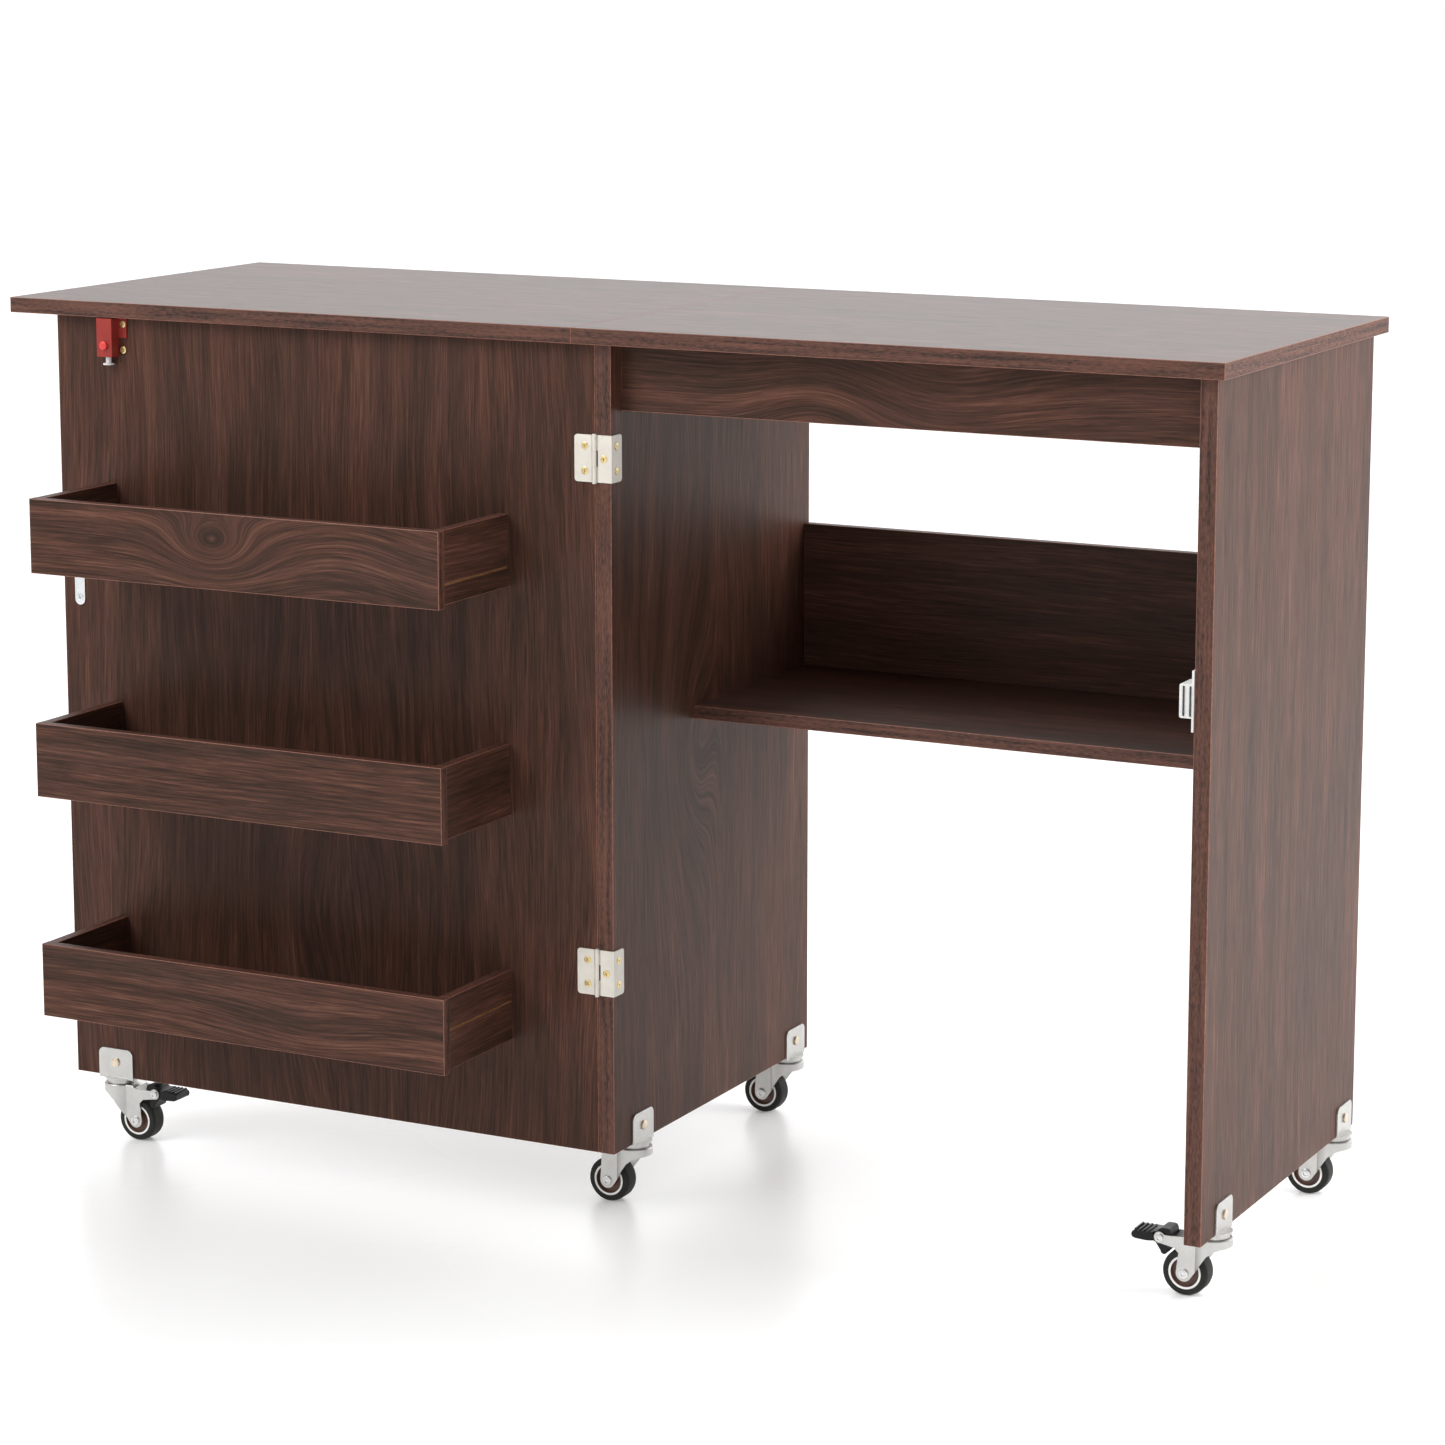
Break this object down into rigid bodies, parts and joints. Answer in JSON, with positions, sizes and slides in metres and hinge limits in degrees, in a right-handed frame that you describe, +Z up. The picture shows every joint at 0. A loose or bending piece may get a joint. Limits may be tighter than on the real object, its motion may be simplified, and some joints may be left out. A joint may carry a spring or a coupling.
{
  "type": "sewing table",
  "caption": "Folding sewing table on casters: shelved frame, flip-over top leaf, and a hinged gate panel with storage bins that holds the leaf up.",
  "frame": {"origin": "under the middle of the whole table, at the floor", "axes": "+X along the top towards the fixed half, +Y from the bins to the back, +Z up"},
  "size_m": [1.18, 0.5156, 0.79],
  "materials": {
    "walnut": "dark walnut wood-grain laminate on board, satin",
    "zinc": "bright zinc",
    "birch": "plain birch",
    "white_plastic": "white moulded plastic",
    "dark_steel": "dark steel",
    "hinge_enamel": "cream enamel on pressed steel",
    "brass": "bright brass",
    "caster_steel": "satin nickel-plated pressed steel",
    "cream_bolt": "pale champagne plated steel",
    "red_plastic": "dull red moulded plastic",
    "red_button": "bright red moulded plastic",
    "nickel": "bright nickel",
    "black_plastic": "black moulded plastic",
    "hub_plastic": "brown moulded plastic with a white rim",
    "tyre": "dark rubber tread"
  },
  "bodies": {
    "frame": {"fixed_top": "walnut", "mid_panel": "walnut", "leg_panel": "walnut", "apron": "walnut", "shelf": "walnut", "shelf_rail": "walnut", "cam_fittings": "zinc", "top_dowels": "birch", "catch_case": "white_plastic", "catch_poles": "dark_steel", "frame_hinge_leaves": "hinge_enamel", "hinge_pins": "hinge_enamel", "frame_screws": "brass", "top_hinge_barrels": "brass", "frame_caster_plates": "caster_steel", "frame_caster_bolts": "cream_bolt"},
    "leaf": {"flip_leaf": "walnut", "leaf_hinge_barrels": "brass"},
    "gate": {"gate_panel": "walnut", "upper_bin_front": "walnut", "upper_bin_sides": "walnut", "upper_bin_bottom": "walnut", "middle_bin_front": "walnut", "middle_bin_sides": "walnut", "middle_bin_bottom": "walnut", "lower_bin_front": "walnut", "lower_bin_sides": "walnut", "lower_bin_bottom": "walnut", "bin_screws": "zinc", "strike_plate": "zinc", "latch_case": "red_plastic", "latch_spring": "nickel", "gate_hinge_leaves": "hinge_enamel", "gate_screws": "brass", "gate_caster_plate": "caster_steel", "gate_caster_bolt": "cream_bolt"},
    "bolt": {"latch_bolt": "nickel"},
    "button": {"latch_button": "red_button"},
    "caster_1": {"caster_1_fork": "caster_steel", "caster_1_axle": "nickel"},
    "wheel_1": {"caster_1_hub": "hub_plastic", "caster_1_tyre": "tyre"},
    "pedal_1": {"caster_1_pedal": "black_plastic"},
    "caster_2": {"caster_2_fork": "caster_steel", "caster_2_axle": "nickel"},
    "wheel_2": {"caster_2_hub": "hub_plastic", "caster_2_tyre": "tyre"},
    "caster_3": {"caster_3_fork": "caster_steel", "caster_3_axle": "nickel"},
    "wheel_3": {"caster_3_hub": "hub_plastic", "caster_3_tyre": "tyre"},
    "caster_4": {"caster_4_fork": "caster_steel", "caster_4_axle": "nickel"},
    "wheel_4": {"caster_4_hub": "hub_plastic", "caster_4_tyre": "tyre"},
    "pedal_4": {"caster_4_pedal": "black_plastic"},
    "caster_5": {"caster_5_fork": "caster_steel", "caster_5_axle": "nickel"},
    "wheel_5": {"caster_5_hub": "hub_plastic", "caster_5_tyre": "tyre"}
  },
  "joints": [
    {"name": "leaf_flip", "type": "hinge", "parent": "frame", "child": "leaf", "pos_m": [0, 0, 0.79025], "axis": [0, 1, 0], "range_deg": [0, 180]},
    {"name": "gate_swing", "type": "hinge", "parent": "frame", "child": "gate", "pos_m": [0.01675, -0.14175, 0.45], "axis": [0, 0, 1], "range_deg": [0, 180]},
    {"name": "bolt_slide", "type": "slide", "parent": "gate", "child": "bolt", "axis": [0, 0, -1], "range_m": [-0.0055, 0], "stiffness_N_per_m": 150, "springref_m": 0.004, "deforming": ["latch_spring"]},
    {"name": "button_push", "type": "slide", "parent": "gate", "child": "button", "axis": [0, 1, 0], "range_m": [0, 0.0015], "stiffness_N_per_m": 300, "springref_m": -0.001},
    {"name": "caster_1_swivel", "type": "hinge", "parent": "gate", "child": "caster_1", "pos_m": [-0.501, -0.13225, 0.05], "axis": [0, 0, 1], "continuous": true},
    {"name": "caster_1_roll", "type": "hinge", "parent": "caster_1", "child": "wheel_1", "pos_m": [-0.479, -0.13225, 0.02], "axis": [0, 1, 0], "continuous": true},
    {"name": "caster_1_brake", "type": "hinge", "parent": "caster_1", "child": "pedal_1", "pos_m": [-0.457, -0.13225, 0.048], "axis": [0, 1, 0], "range_deg": [0, 15]},
    {"name": "caster_2_swivel", "type": "hinge", "parent": "frame", "child": "caster_2", "pos_m": [0.0245, -0.08875, 0.05], "axis": [0, 0, 1], "continuous": true},
    {"name": "caster_2_roll", "type": "hinge", "parent": "caster_2", "child": "wheel_2", "pos_m": [0.0025, -0.08875, 0.02], "axis": [0, 1, 0], "continuous": true},
    {"name": "caster_3_swivel", "type": "hinge", "parent": "frame", "child": "caster_3", "pos_m": [0.0245, 0.21775, 0.05], "axis": [0, 0, 1], "continuous": true},
    {"name": "caster_3_roll", "type": "hinge", "parent": "caster_3", "child": "wheel_3", "pos_m": [0.0025, 0.21775, 0.02], "axis": [0, 1, 0], "continuous": true},
    {"name": "caster_4_swivel", "type": "hinge", "parent": "frame", "child": "caster_4", "pos_m": [0.573, -0.08875, 0.05], "axis": [0, 0, 1], "continuous": true},
    {"name": "caster_4_roll", "type": "hinge", "parent": "caster_4", "child": "wheel_4", "pos_m": [0.551, -0.08875, 0.02], "axis": [0, 1, 0], "continuous": true},
    {"name": "caster_4_brake", "type": "hinge", "parent": "caster_4", "child": "pedal_4", "pos_m": [0.529, -0.08875, 0.048], "axis": [0, -1, 0], "range_deg": [0, 15]},
    {"name": "caster_5_swivel", "type": "hinge", "parent": "frame", "child": "caster_5", "pos_m": [0.573, 0.21775, 0.05], "axis": [0, 0, 1], "continuous": true},
    {"name": "caster_5_roll", "type": "hinge", "parent": "caster_5", "child": "wheel_5", "pos_m": [0.551, 0.21775, 0.02], "axis": [0, 1, 0], "continuous": true}
  ]
}
